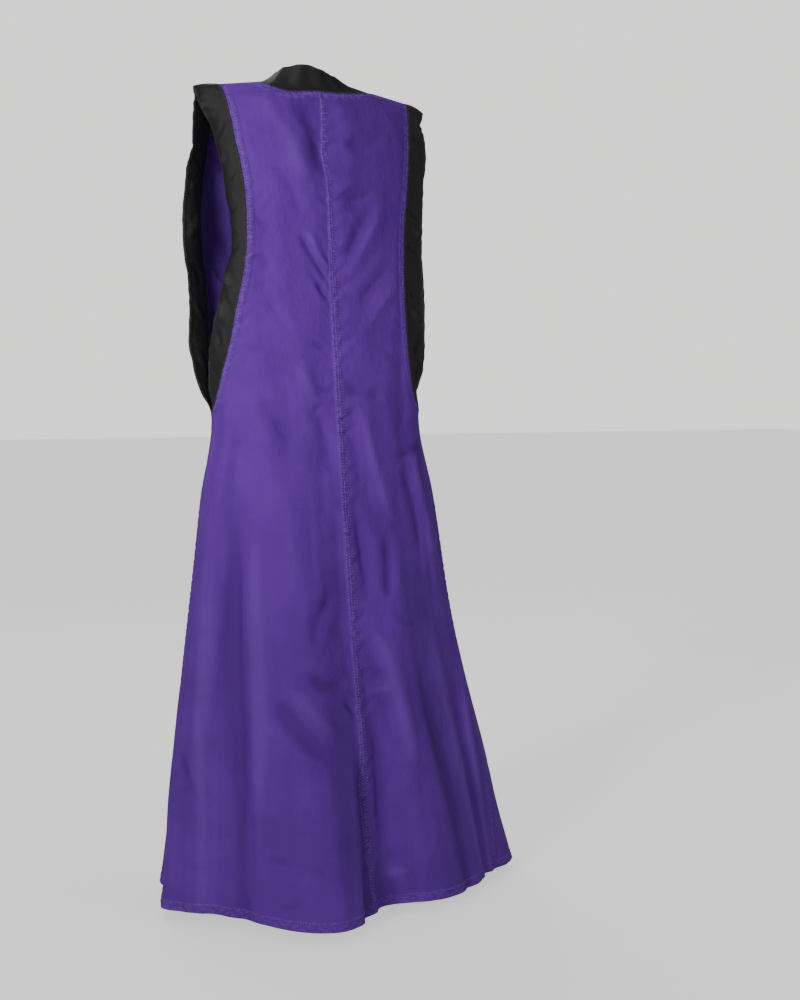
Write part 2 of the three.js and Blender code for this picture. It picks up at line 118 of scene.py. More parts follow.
# Creases of the cloth: height (ridge +, trough -), half width, then the line's angles and drops in turn.
BACK_CREASES = numbers("""
    -7 32 70 20 80 84 86 176; 3.4 26 50 14 58 56 66 104 76 190; -4.2 8 69 256 78 312 85.5 354
    2.2 9 73 256 81 312 86.5 340; -3.4 7 76.5 346 82 368 86.6 386; -2 7 72.5 308 78 345 84 374
    -3 15 91 104 106 106 121 90; -3.4 16 90 206 103 200 116 178; 2 14 119 186 107 270 92 362
    -2.2 12 113 196 101 272 91 330; -2.4 13 124 300 112 340 98 395; 2 12 128 330 115 380 101 440
    -1.6 8 36 460 43 463 50 457; -1.6 7 72 449 83 463; -2 9 51 370 57.5 408 64 440
    -2.8 9 88.6 522 101 537 115 543; -2 8 73 529 85 532; -3.4 14 40 528 48.7 576 60 622
    1.8 12 60 470 70 520 78 590; -2.2 12 66 545 76 600 80 690; 5 20 94 530 101 615 105 692 108 792
    -4.2 12 106 770 104 830 101.5 905; -5 15 89 690 92 802 92.5 900
    -6 22 20 560 29 764 33 913 38 1141 40 1400; 4.5 20 6 680 15 948 20 1212 22 1400
    5 24 42 700 46 1008 47 1275; -3.6 14 79 862 69 911 65 966; -3.6 16 60 988 70 1015 81 1030
    -5.5 20 47 1022 60 1088 71 1155; 3 18 54 1000 66 1066 76 1110; -3 8 77 1044 84 1084
    4.5 16 88 1046 94.4 1038 100 1035; 6 17 91 905 99 993 101 1050 102.4 1144 102 1200
    -6.5 19 84 1110 81 1248 77 1400; -5 16 91 1054 89 1189 86 1330; 5 18 86.5 1342 92 1348 97 1342
    -2 7 48 1294 56 1295; -1.6 6 61 1305 65 1311; -2 7 52 1372 58 1358; -2.6 9 3 1126 11 1174 18 1226
    5 15 152 960 144 1110 142 1223 140 1400; -6 20 112 960 116 1120 118 1400
    5 22 126 900 129 1100 131 1400; -3 16 118 640 126 720 130 830; 3.5 18 132 600 136 740 138 900
    -3 12 146 590 140 660 138 760; -2.4 10 150 610 130 640 112 652; -2 9 100 905 112 930 122 940
    -3.4 13 155 700 156 900 157 1100; 2.4 20 50 620 58 760 60 900; -1.5 8 44 232 52 250 58 262
    -1.8 9 48 300 56 330; -1.4 10 60 150 68 200 72 250""")

FRONT_CREASES = numbers("""
    -4 18 300 120 296 220 292 320; -3 16 244 130 246 230 250 330; 3 18 318 90 312 180 304 280
    -2.6 12 322 300 306 350 288 384; -2.4 12 222 290 238 344 256 380; 2.4 15 232 110 238 200 244 280
    -3 10 330 440 312 476 292 500; -2.6 10 214 440 232 480 252 506; -2.2 9 262 540 280 550 298 544
    -5 18 220 600 219 820 220 1100 221 1400; 5 18 206 640 205 900 206 1180
    -5 17 250 620 249 850 248 1140 249 1400; 5 16 236 660 235 930 235 1260
    -6 18 276 640 275 880 276 1180 276 1400; 5 17 289 700 290 960 290 1200
    -5 17 305 610 305 840 304 1100 305 1400; 4.5 16 321 660 320 930 320 1240
    -4 15 333 600 334 900 334 1200 334 1400; -3 14 262 720 270 800 282 862; -3 13 300 900 310 980 322 1040
    -2.6 11 196 930 210 1010 226 1066; -2 9 240 1180 256 1204 268 1200; -2.4 9 180 760 190 800 203 824
    3 14 176 700 181 900 184 1120; -3 12 190 620 192 760 193 960; -2 8 284 1300 296 1310""")

# Creases of the bands: the same, with the line's drops and distances from the seam in turn.
BAND_CREASES = {
    "left_back": numbers("""
        2.6 8 330 44 352 30 372 20; -3 7 344 48 362 34 384 26; 2.4 9 382 44 400 30 424 26
        -1.6 5 60 10 78 24 90 44; -1.6 5 150 8 166 26 172 46; -1.4 5 214 12 226 30 230 46
        -1.8 6 430 40 450 26 470 20; -1.2 4 498 8 506 24 512 40; 1.4 6 110 30 124 36 138 40
        -1.4 5 282 10 296 26 304 44"""),
    "left_front": numbers("""
        -1.8 6 90 40 112 26 130 12; -2 7 226 10 250 28 262 44; 1.6 8 300 40 330 24 352 20
        -1.8 6 372 44 396 30 410 12; -1.6 6 470 36 490 24 506 12; -1.4 5 170 12 182 30 186 44"""),
    "right_back": numbers("""
        -2 6 204 8 212 26 214 46; -2.2 7 268 10 280 28 282 46; -2 6 352 12 362 30 360 46
        1.8 7 232 20 244 34 250 46; -2.2 7 436 42 458 28 480 18; -2 6 476 40 498 26 516 14
        -1.4 5 60 10 70 26 74 42; 1.5 7 384 16 400 30 408 44"""),
    "right_front": numbers("""
        -1.8 6 80 12 98 28 106 46; -2 7 220 44 244 28 262 14; 1.6 7 300 16 322 30 334 44
        -1.8 6 396 12 410 28 414 44; -1.6 6 466 40 486 26 504 14""")}

# Wrinkles across the standing neck band: angle round the neck, half width in degrees, height.
NECK_WRINKLES = numbers("""
    16 9 -1.6; 34 7 1.4; 52 6 -1.8; 66 6 1.5; 80 5 -1.8; 91 5 1.8; 99 3.5 -2.6; 106 3.5 2.2; 113 3.5 -2.6
    121 5 1.8; 133 7 -1.6; 152 8 1.1; 190 9 -1.2; 214 8 1.2; 236 8 -1.4; 258 7 1.3; 281 8 -1.4; 306 8 1.2
    334 9 -1.3""")


# ---- Curves and the surface of the dress ----

def hermite(t, start, end, slope_start, slope_end):
    rest = 1 - t
    return (start * rest * rest * (1 + 2 * t) + end * t * t * (3 - 2 * t)
            + slope_start * t * rest * rest - slope_end * t * t * rest)


def smooth_curve(xs, ys, x):
    """A smooth curve through (xs, ys) that never swings past its points."""
    at = np.clip(x, xs[0], xs[-1])
    steps = np.diff(xs)
    rises = np.diff(ys) / steps
    slopes = np.zeros(len(xs))
    slopes[0], slopes[-1] = rises[0], rises[-1]
    same = rises[:-1] * rises[1:] > 0
    before, after = 2 * steps[1:] + steps[:-1], steps[1:] + 2 * steps[:-1]
    left, right = np.where(same, rises[:-1], 1), np.where(same, rises[1:], 1)
    slopes[1:-1] = np.where(same, (before + after) / (before / left + after / right), 0)
    i = np.clip(np.searchsorted(xs, at, side="right") - 1, 0, len(xs) - 2)
    t = (at - xs[i]) / steps[i]
    return hermite(t, ys[i], ys[i + 1], slopes[i] * steps[i], slopes[i + 1] * steps[i])


def read(table, column, drop):
    return smooth_curve(table["drop"], table[column], drop)


def read_round(table, column, angle):
    """The same for a table that goes once round by angle."""
    turns = np.concatenate([table["angle"][-2:] - 360, table["angle"], table["angle"][:2] + 360])
    values = np.concatenate([table[column][-2:], table[column], table[column][:2]])
    i = np.searchsorted(turns, angle, side="right") - 1
    slope = np.gradient(values, turns)
    slope[1:-1] = (values[2:] - values[:-2]) / (turns[2:] - turns[:-2])
    step = turns[i + 1] - turns[i]
    return hermite((angle - turns[i]) / step, values[i], values[i + 1], slope[i] * step, slope[i + 1] * step)


def smoothstep(x, start=0.0, end=1.0):
    t = np.clip((x - start) / (end - start), 0, 1)
    return t * t * (3 - 2 * t)


def unit(v):
    return v / np.maximum(np.linalg.norm(v, axis=-1, keepdims=True), 1e-9)


def bell(x, middle, width):
    return np.exp(-((x - middle) / width) ** 2)


def way_along(points, axis=0):
    """The distance from the first point, along one axis of a grid of points."""
    steps = np.linalg.norm(np.diff(points, axis=axis), axis=-1)
    return np.concatenate([np.zeros_like(np.take(steps, [0], axis)), np.cumsum(steps, axis=axis)], axis)


def at_run(x, run, values):
    """The points or normals found at x along the run."""
    return np.stack([np.interp(x, run, values[:, k]) for k in range(3)], -1)


def fold_height(angle, drop):
    height = np.zeros(np.broadcast(angle, drop).shape)
    for hem, top, before, after, high, start, power in FOLDS:
        grown = np.maximum(0, (drop - start) / (LENGTH - start))
        away = (angle - (top + (hem - top) * grown) + 180) % 360 - 180
        part = np.clip(away / np.where(away < 0, before, after), -1, 1)
        height += high * grown ** power * 0.5 * (1 + np.cos(np.pi * part))
    return height


def neck_rise(angle, drop):
    """The back neckline rides up a little across the middle."""
    across = smoothstep(angle, 66, 84) * (1 - smoothstep(angle, 112, 128))
    return NECK_RISE * across * smoothstep(drop, 2, 20) * (1 - smoothstep(drop, 24, 70))


def surface(angle, drop):
    angle, drop = np.broadcast_arrays(np.asarray(angle, float), np.asarray(drop, float))
    c, s = np.cos(np.radians(angle)), np.sin(np.radians(angle))
    half = read(SECTIONS, "half_width", drop)
    depth = np.where(s >= 0, read(SECTIONS, "back", drop), read(SECTIONS, "front", drop))
    power = read(SECTIONS, "squareness", drop)
    reach = (np.abs(c) ** power + np.abs(s) ** power) ** (-1 / power)
    sideways = half * reach * c
    out = unit(np.stack([c / half, s / np.maximum(depth, 1)], -1)) * fold_height(angle, drop)[..., None]
    fade = 1 - smoothstep(drop, 0, SHOULDER["fade"])
    z = -SHOULDER["fall"] * np.maximum(0, np.abs(sideways) - SHOULDER["level_half"]) * fade - drop
    z = z + neck_rise(angle, drop)
    x = read(SECTIONS, "centre_x", drop) + sideways + out[..., 0]
    y = read(SECTIONS, "centre_y", drop) + depth * reach * s + out[..., 1]
    return np.stack([x, y, z], -1)


def outward_normal(angle, drop):
    across = surface(angle + 0.5, drop) - surface(angle - 0.5, drop)
    down = surface(angle, drop + 1) - surface(angle, np.maximum(drop - 1, 0))
    normal = unit(np.cross(down, across))
    normal[np.broadcast_to(drop, normal.shape[:-1]) <= 0] = (0, 0, 1)
    return normal


def on_face(side, face, from_side):
    towards = from_side if face == "back" else -from_side
    return towards if side == "left" else 180 - towards


def turned(face, angle):
    return angle % 360 if face == "front" else angle


def inner_angle(side, face, drop):
    """The neckline, and below it the middle of the panel."""
    seam = read(SECTIONS, "seam_angle", drop)
    centre = seam if face == "back" else -seam
    half = NECK[side] * np.sqrt(np.maximum(0, 1 - (drop / NECK[face]) ** 2))
    x = NECK["centre"] + (half if side == "left" else -half)
    aside = (x - read(SECTIONS, "centre_x", drop)) / read(SECTIONS, "half_width", drop)
    aside = np.where(np.abs(aside) < 1e-6, 1e-6, aside)
    power = read(SECTIONS, "squareness", drop)
    turn = np.degrees(np.arctan(((1 / np.abs(aside)) ** power - 1) ** (1 / power)))
    line = np.where(aside > 0, on_face("left", face, turn), on_face("right", face, turn))
    return turned(face, np.where(drop >= NECK[face], centre, line))


def outer_angle(side, face, drop):
    """The armhole, and below it the side seam."""
    hole = on_face(side, face, read(ARMHOLE, f"{side}_{face}", drop))
    start, hem, power = SIDE_SEAM[side]
    grown = np.maximum(0, (drop - ARMHOLE_DROP) / (LENGTH - ARMHOLE_DROP)) ** power
    seam = on_face(side, "back", start + (hem - start) * grown)
    return turned(face, np.where(drop <= ARMHOLE_DROP, hole, seam))


# ---- Creases ----

ARC_STEP = {"angle": 2.0, "drop": 20.0}
ARC_ANGLES = np.arange(-220.0, 582.0, ARC_STEP["angle"])
ARC_DROPS = np.arange(0.0, LENGTH + 1, ARC_STEP["drop"])


def arc_table():
    arcs = way_along(surface(ARC_ANGLES[None, :], ARC_DROPS[:, None]), 1)
    return arcs - arcs[:, [int(np.searchsorted(ARC_ANGLES, 90))]]


ARCS = arc_table()


def arc(angle, drop):
    """The way round the cloth from the middle of the back, at that drop, or at 40 where it is less."""
    i = np.clip((angle - ARC_ANGLES[0]) / ARC_STEP["angle"], 0, len(ARC_ANGLES) - 1.001)
    j = np.clip(drop / ARC_STEP["drop"], 2, len(ARC_DROPS) - 1.001)
    a, b = i.astype(int), j.astype(int)
    p, q = i - a, j - b
    return ((ARCS[b, a] * (1 - p) + ARCS[b, a + 1] * p) * (1 - q)
            + (ARCS[b + 1, a] * (1 - p) + ARCS[b + 1, a + 1] * p) * q)


def soft_line(u, v, line, width, open_end):
    """A soft trough or ridge of height 1 along a line in the plane (u, v), tapered to its ends."""
    points = np.array(line, float)
    runs = way_along(points)
    fine = np.linspace(0, runs[-1], 4 * len(points))
    points = np.stack([smooth_curve(runs, points[:, k], fine) for k in (0, 1)], 1)
    reach = 3 * width
    low, high = points.min(0) - reach, points.max(0) + reach
    near = (u > low[0]) & (u < high[0]) & (v > low[1]) & (v < high[1])
    result = np.zeros(u.shape)
    if not near.any():
        return result
    x, y = u[near], v[near]
    best = np.full(x.shape, np.inf)
    part = np.zeros(x.shape)
    for k in range(len(points) - 1):
        way = points[k + 1] - points[k]
        size = float(way @ way)
        t = np.clip(((x - points[k, 0]) * way[0] + (y - points[k, 1]) * way[1]) / size, 0, 1)
        away = np.hypot(x - points[k, 0] - t * way[0], y - points[k, 1] - t * way[1])
        nearer = away < best
        best = np.where(nearer, away, best)
        part = np.where(nearer, (fine[k] + t * (fine[k + 1] - fine[k])) / runs[-1], part)
    q = best / width
    taper = smoothstep(part, 0, 0.35)
    if not open_end:
        taper = taper * smoothstep(1 - part, 0, 0.35)
    uneven = 1 + 0.2 * np.sin(part * 9 + points[0, 1] * 0.05)
    soft = 0.66 * bell(q, 0, 1) + 0.34 * bell(q, 0, 0.4)
    result[near] = (soft - 0.22 * np.exp(-2.2 * (q - 1.7) ** 2)) * taper * uneven
    return result


def crease_height(angle, drop):
    """All the creases of the panels, and the slow unevenness of the cloth."""
    height = np.zeros(angle.shape)
    for shift in (0, -360, 360):
        u = arc(angle + shift, drop)
        for high, width, *line in BACK_CREASES + FRONT_CREASES:
            places = [(arc(a, d), d) for a, d in zip(line[::2], line[1::2])]
            height += CREASE_DEPTH * high * soft_line(u, drop, places, width, line[-1] >= LENGTH)
    rng = np.random.default_rng(SEEDS["creases"])
    turn = np.radians(angle)
    for _ in range(16):
        count = int(rng.integers(5, 24))
        height += 0.3 * np.sin(count * turn + drop * rng.uniform(-0.018, 0.018) + rng.uniform(0, 6.28))
    u = arc(angle, drop)
    for _ in range(150):
        a, d = rng.uniform(-15, 345), rng.uniform(40, 1370)
        lean, size = rng.uniform(-1.4, 1.4), rng.uniform(12, 40)
        high, width = rng.uniform(-1.7, 0.8), rng.uniform(4.5, 9)
        x = arc(a, d)
        line = [(x - size, d - size * lean), (x, d + rng.uniform(-5, 5)), (x + size, d + size * lean)]
        height += high * soft_line(u, drop, line, width, False)
    skirt = smoothstep(drop, 480, 760)
    for _ in range(12):
        swell = 0.5 + 0.5 * np.sin(drop * rng.uniform(0.004, 0.012) + rng.uniform(0, 6.28))
        lean, start = rng.uniform(-0.006, 0.006), rng.uniform(0, 6.28)
        height += 0.26 * skirt * swell * np.sin(int(rng.integers(24, 64)) * turn + drop * lean + start)
    return height


def painted_back_shade(angle, drop):
    """Painted shade over the hollow between the shoulder blades: the cloth right of a diagonal on the upper
    back is coloured darker, and the shape is not moved.
    """
    lean = 61 + 27 * smoothstep(drop, 10, 200)
    return smoothstep(angle - lean, 0, 9) * smoothstep(drop, 8, 40) * (1 - smoothstep(drop, 210, 380))


def waves(run, seed, pitches):
    rng = np.random.default_rng(seed)
    total = np.zeros(np.shape(run))
    for pitch in pitches:
        total += np.sin(2 * np.pi * run / (pitch * rng.uniform(0.93, 1.07)) + rng.uniform(0, 6.28))
    return total / len(pitches) * 1.4


def pucker(run, seed):
    """An uneven run of small gathers along a seam, from about -1 to 1."""
    return waves(run, seed, (8.6, 10.5, 13.0, 17.0))


def slow_pucker(run, seed):
    return waves(run, seed + SEEDS["slow"], (24.0, 33.0, 47.0))


# ---- Meshes ----

def row_drops(face, step):
    neck = NECK[face]
    crest = np.array([0, 0.5, 1.2, 2.2, 3.6, 5.4, 7.8, 10.5])
    part = np.arange(1, int(neck / 2 + 14)) / int(neck / 2 + 13)
    throat = neck * (0.8 * np.sin(part * np.pi / 2) + 0.2 * part)
    chest = np.arange(neck + step, ARMHOLE_BEND - step / 2, step)
    part = np.arange(0, 33) / 32
    bend = ARMHOLE_BEND + (ARMHOLE_DROP - ARMHOLE_BEND) * np.sin(part * np.pi / 2)
    skirt = np.arange(ARMHOLE_DROP + step, LENGTH - 20, step)
    hem = LENGTH - np.array([18, 15.6, 14.6, 13.8, 13, 12, 9, 6, 3.4, 1.6, 0.6, 0])
    return np.concatenate([crest, throat[throat > 11.5], chest, bend, skirt, hem])


def graded(count, crowd=0.78):
    """Steps from 0 to 1 that are closer at both ends."""
    t = np.linspace(0, 1, count)
    return t - crowd * np.sin(2 * np.pi * t) / (2 * np.pi)


def column_angles(side, face, drops, inner, outer, f):
    """Columns that hold their place down the panel, and close up beside the neckline."""
    seam = inner_angle(side, face, np.maximum(drops, NECK[face]))
    way = np.sign(outer - inner)[:, None]
    free = (seam[:, None] + (outer - seam)[:, None] * f - inner[:, None]) * way / NECK_EASE
    eased = np.logaddexp(0, free)
    eased = (eased - eased[:, :1]) / (eased[:, -1:] - eased[:, :1])
    return inner[:, None] + (outer - inner)[:, None] * eased


def grid_normals(points):
    across = np.gradient(points, axis=1)
    down = np.gradient(points, axis=0)
    return unit(np.cross(down, across))


def neck_distance(side, face, run, drop):
    """How far a point lies outside the neckline, an ellipse; run is the way from the panel's inner edge."""
    half, deep = NECK[side], NECK[face]
    x = half * np.sqrt(np.maximum(0, 1 - (drop / deep) ** 2)) + run
    round_ = np.hypot(x / half, drop / deep)
    return (round_ - 1) * round_ / np.maximum(np.hypot(x / half ** 2, drop / deep ** 2), 1e-6)


def panel_half(side, face, step, columns):
    """The cloth of half the back or front: points, normals, flat coordinates, crease and seam values.

    Each line of relief is a height in millimetres, times a pattern, times how it dies away.
    """
    drops = row_drops(face, step)
    inner, outer = inner_angle(side, face, drops), outer_angle(side, face, drops)
    angle = column_angles(side, face, drops, inner, outer, graded(columns))
    drop = np.broadcast_to(drops[:, None], angle.shape)
    base, normal = surface(angle, drop), outward_normal(angle, drop)
    run = way_along(base, 1)
    from_outer = run[:, -1:] - run
    away = neck_distance(side, face, run, drop)
    around = arc(angle, drop)
    up = LENGTH - drop
    on_hole = np.maximum(smoothstep(from_outer, 2, 26), smoothstep(drop, ARMHOLE_DROP + 6, ARMHOLE_DROP + 50))
    crease = crease_height(angle, drop) * on_hole * smoothstep(away, 2, 30) * smoothstep(drop, 4, 40)
    height = crease.copy()

    # The middle seam, pressed wider on the left.
    middle = smoothstep(drop, NECK[face] + 2, NECK[face] + 20)
    seed = SEEDS[face + "_middle"]
    pressed = 5 + 6 * smoothstep(drop, 200, 420) if side == "left" else 3.0
    height += middle * 0.6 * smoothstep(pressed + 1 - run, 0, 4) * (1 + 0.5 * slow_pucker(drop, seed + 2))
    height -= middle * MIDDLE_GROOVE[side] * bell(run, 0, 1.1)
    height -= middle * 0.35 * bell(run, SEAM_STITCH, 0.8)
    height += middle * 0.75 * pucker(drop + 0.5 * run, seed) * bell(run, 4, 8)
    height += middle * 1.2 * slow_pucker(drop + 0.6 * run, seed) * bell(run, 0, 26)

    # The armhole, the neckline, the side seam and the hem.
    hole = smoothstep(drop, 8, 40) * (1 - smoothstep(drop, ARMHOLE_DROP - 8, ARMHOLE_DROP + 2))
    height += hole * 0.4 * smoothstep(14 - from_outer, 0, 4)
    height += hole * 1.0 * pucker(drop * 1.1 + 0.4 * from_outer, SEEDS["armhole"]) * bell(from_outer, 7, 7)
    slow = slow_pucker(drop + 0.5 * from_outer, SEEDS["armhole_slow"])
    height += hole * 0.7 * slow * bell(from_outer, 12, 15)
    throat = smoothstep(drop, 3, 10)
    height += throat * 0.5 * smoothstep(9 - away, 0, 2.5)
    height -= throat * 0.4 * bell(away, NECK_STITCH, 1.0)
    height += throat * 0.8 * pucker(0.9 * around, SEEDS["neck"]) * bell(away, 6, 7)
    height -= hole * 0.4 * bell(from_outer, ARMHOLE_STITCH, 1.0)
    side_seam = smoothstep(drop, ARMHOLE_DROP, ARMHOLE_DROP + 25)
    height -= side_seam * 0.6 * bell(from_outer, 0, 1.4)
    height += side_seam * 0.8 * pucker(drop, SEEDS["side"]) * bell(from_outer, 0, 13)
    height += 0.8 * smoothstep(HEM_STITCH + 1.5 - up, 0, 2.5)
    height -= 0.5 * bell(up, HEM_STITCH, 1.0)
    height += 0.9 * pucker(around, SEEDS[face + "_hem"]) * bell(up, 12, 15)

    points = base + normal * height[..., None]
    points[:, 0] += 0.5 * SEAM_GAP * unit(points[:, 1] - points[:, 0]) * middle[:, :1]
    below = drops >= ARMHOLE_DROP
    points[below, -1] += 0.5 * SEAM_GAP * unit(points[below, -2] - points[below, -1])
    points[0, :, 1] = (SEAM_GAP if face == "back" else -SEAM_GAP) / 2
    normals = grid_normals(points)
    if ((normals * normal).sum(-1) < 0).mean() > 0.5:
        normals = -normals
    normals[0] = (0, 0, 1)

    seam = np.maximum.reduce([
        middle * smoothstep(pressed + 3 - run, 0, 4), 0.85 * hole * smoothstep(15 - from_outer, 0, 8),
        0.8 * smoothstep(19 - up, 0, 6), throat * smoothstep(13 - away, 0, 5),
        0.6 * side_seam * smoothstep(10 - from_outer, 0, 5)])
    # Painted shade: the crease values that tint the back are lowered over the upper back right of a diagonal;
    # the cloth keeps its shape.
    if face == "back":
        crease = crease - BACK_SHADE_PAINT * painted_back_shade(angle, drop)
    flat = np.stack([run if side == "left" else -run, drop], -1)
    return {"points": points, "normals": normals, "flat": flat, "crease": crease, "seam": seam, "run": run,
            "from_outer": from_outer, "drops": drops}


def shell(name, sheet, thickness, materials):
    """One closed wall of cloth from a sheet of points, with a rounded edge."""
    rows, columns = sheet["points"].shape[:2]
    index = np.arange(rows * columns).reshape(rows, columns)
    quads = np.stack([index[:-1, :-1], index[:-1, 1:], index[1:, 1:], index[1:, :-1]], -1).reshape(-1, 4)
    points, normals = sheet["points"].reshape(-1, 3), sheet["normals"].reshape(-1, 3)
    a, b, c = (points[quads[:, k]] for k in (0, 1, 2))
    if (np.cross(b - a, c - a) * normals[quads[:, 0]]).sum(-1).sum() < 0:
        quads = quads[:, ::-1]
    _, first, inverse = np.unique(np.round(points, 3), axis=0, return_index=True, return_inverse=True)
    points, normals = points[first], normals[first]
    quads = inverse.reshape(-1)[quads]
    quads = quads[[len(set(q)) == 4 for q in quads]]

    # The lips run along the open edges, between the outside and the inside.
    count = len(points)
    edges = np.concatenate([quads[:, [k, (k + 1) % 4]] for k in range(4)])
    code, back = edges[:, 0] * count + edges[:, 1], edges[:, 1] * count + edges[:, 0]
    rim = edges[~np.isin(code, back)]
    a, b = rim[:, 0], rim[:, 1]
    outward = np.zeros((count, 3))
    for k in (0, 1):
        np.add.at(outward, rim[:, k], unit(np.cross(points[b] - points[a], normals[rim[:, k]])))
    lips = np.unique(rim)
    lip = np.full(count, -1)
    lip[lips] = 2 * count + np.arange(len(lips))
    middle = points[lips] + unit(outward[lips]) * thickness * 0.4
    half = thickness / 2
    vertices = np.concatenate([points + normals * half, points - normals * half, middle]) * MM
    faces = np.concatenate([
        quads, quads[:, ::-1] + count,
        np.stack([b, a, lip[a], lip[b]], -1), np.stack([lip[b], lip[a], a + count, b + count], -1)])
    inside = np.zeros(len(faces), int)
    inside[len(quads):2 * len(quads)] = 1
    obj = mesh_object(name, vertices, faces, materials)
    mesh = obj.data
    mesh.polygons.foreach_set("material_index", inside)

    every = first[np.concatenate([np.arange(count), np.arange(count), lips])]
    flat = sheet["flat"].reshape(-1, 2)[every][faces.reshape(-1)] * MM
    mesh.uv_layers.new(name="flat").data.foreach_set("uv", flat.reshape(-1).astype(np.float32))
    edge = np.zeros(len(every))
    edge[lips], edge[lips + count], edge[2 * count:] = 0.5, 0.5, 1
    crease, seam = (sheet[key].reshape(-1)[every] for key in ("crease", "seam"))
    for key, values in (("crease", crease), ("seam", seam), ("edge", edge)):
        mesh.attributes.new(key, "FLOAT", "POINT").data.foreach_set("value", values.astype(np.float32))
    mesh.update()
    sides = points[quads][:, 1:] - points[quads][:, :1]
    area = 0.5 * sum(np.linalg.norm(np.cross(sides[:, k], sides[:, k + 1]), axis=1).sum() for k in (0, 1))
    return obj, area * MM * MM


def mesh_object(name, vertices, faces, materials):
    mesh = bpy.data.meshes.new(name)
    faces = np.asarray(faces)
    sides = faces.shape[1]
    mesh.vertices.add(len(vertices))
    mesh.vertices.foreach_set("co", np.asarray(vertices, np.float32).reshape(-1))
    mesh.loops.add(faces.size)
    mesh.loops.foreach_set("vertex_index", faces.reshape(-1).astype(np.int32))
    mesh.polygons.add(len(faces))
    mesh.polygons.foreach_set("loop_start", np.arange(0, faces.size, sides, dtype=np.int32))
    mesh.update(calc_edges=True)
    mesh.validate()
    mesh.polygons.foreach_set("use_smooth", [True] * len(mesh.polygons))
    for material in materials:
        mesh.materials.append(material)
    obj = bpy.data.objects.new(name, mesh)
    bpy.context.scene.collection.objects.link(obj)
    return obj


def stitch_rows(name, lines, material, length=2.6, gap=2.5, radius=0.45):
    """Rows of short stitches. Each line is (points, normals) on the face of the cloth."""
    turn = np.arange(5) * 2 * np.pi / 5
    vertices, faces, count = [], [], 0
    for points, normals in lines:
        run = way_along(points)
        starts = np.arange(1.0, run[-1] - length - 1, length + gap)
        ends = [at_run(starts + s, run, points) for s in (0, length)]
        out = unit(at_run(starts + length / 2, run, normals))
        way = unit(ends[1] - ends[0])
        side = unit(np.cross(way, out))
        out = np.cross(side, way)
        block = []
        for at in (0.22, 0.78):
            middle = ends[0] + (ends[1] - ends[0]) * at + out * radius * 0.25
            ring = [middle + (side * c + out * s) * radius for c, s in zip(np.cos(turn), np.sin(turn))]
            block.append(np.stack(ring, 1))
        block.append(np.stack([end - out * radius * 0.4 for end in ends], 1))
        vertices.append(np.concatenate(block, 1).reshape(-1, 3))
        base = count + 12 * np.arange(len(starts))[:, None]
        count += 12 * len(starts)
        for k in range(5):
            n = (k + 1) % 5
            for corner in ((k, n, 5 + n), (k, 5 + n, 5 + k), (n, k, 10), (5 + k, 5 + n, 11)):
                faces.append(base + np.array(corner)[None, :])
    return mesh_object(name, np.concatenate(vertices) * MM, np.concatenate(faces), [material])


def line_on_rows(sheet, key, distance, rows, lift):
    """The line on a panel that keeps one distance from its middle or outer edge."""
    order = slice(None) if key == "run" else slice(None, None, -1)
    rows = [row for row in rows if sheet[key][row, order][-1] >= distance]
    points, normals = (np.array([at_run(distance, sheet[key][row, order], sheet[part][row, order])
                                 for row in rows]) for part in ("points", "normals"))
    normals = unit(normals)
    return points + normals * lift, normals


def line_at(panel, drops, runs, lift):
    """The line on a panel through given drops and ways from its inner edge."""
    levels = panel["drops"]
    rows = np.clip(np.searchsorted(levels, drops, side="right") - 1, 0, len(levels) - 2)
    parts = (drops - levels[rows]) / (levels[rows + 1] - levels[rows])
    found = []
    for key in ("points", "normals"):
        above, below = (np.array([at_run(run, panel["run"][row], panel[key][row])
                                  for row, run in zip(rows + step, runs)]) for step in (0, 1))
        found.append(above + (below - above) * parts[:, None])
    normals = unit(found[1])
    return found[0] + normals * lift, normals


# ---- Bands ----

def seam_frames(side, face, drops):
    def seam(drop):
        return surface(outer_angle(side, face, drop), drop)
    angle = outer_angle(side, face, drops)
    point, normal = surface(angle, drops), outward_normal(angle, drops)
    span = np.minimum(SEAM_SPAN, np.minimum(drops, ARMHOLE_DROP - drops) / 2)
    span = np.where(span <= 0, 1, span)
    way = seam(np.minimum(drops + span, ARMHOLE_DROP)) - seam(np.maximum(drops - span, 0))
    way[[0, -1], 2] = np.where(np.isin(drops[[0, -1]], (0, ARMHOLE_DROP)), 0, way[[0, -1], 2])
    across = unit(np.cross(way, normal))
    level = np.maximum(0, drops - SEAM_SPAN)
    back, front = (on_face(side, f, read(ARMHOLE, f"{side}_{f}", level)) for f in ("back", "front"))
    inside = surface((back + front) / 2, level)
    across = np.where(((inside - point) * across).sum(-1, keepdims=True) < 0, -across, across)
    return point, normal, unit(way), across


def strip_normals(points, way, across, normal):
    grid = unit(np.cross(np.gradient(points, axis=0), np.gradient(points, axis=1)))
    hand = np.sign((np.cross(way, across) * normal).sum(-1))
    grid = grid * hand[:, None, None]
    grid[:, 0] = normal
    for end in (0, -1):
        step = np.gradient(points[end], axis=0)
        grid[end] = unit(np.cross(way[end], step)) * hand[end]
        grid[end, 0] = normal[end]
    return grid


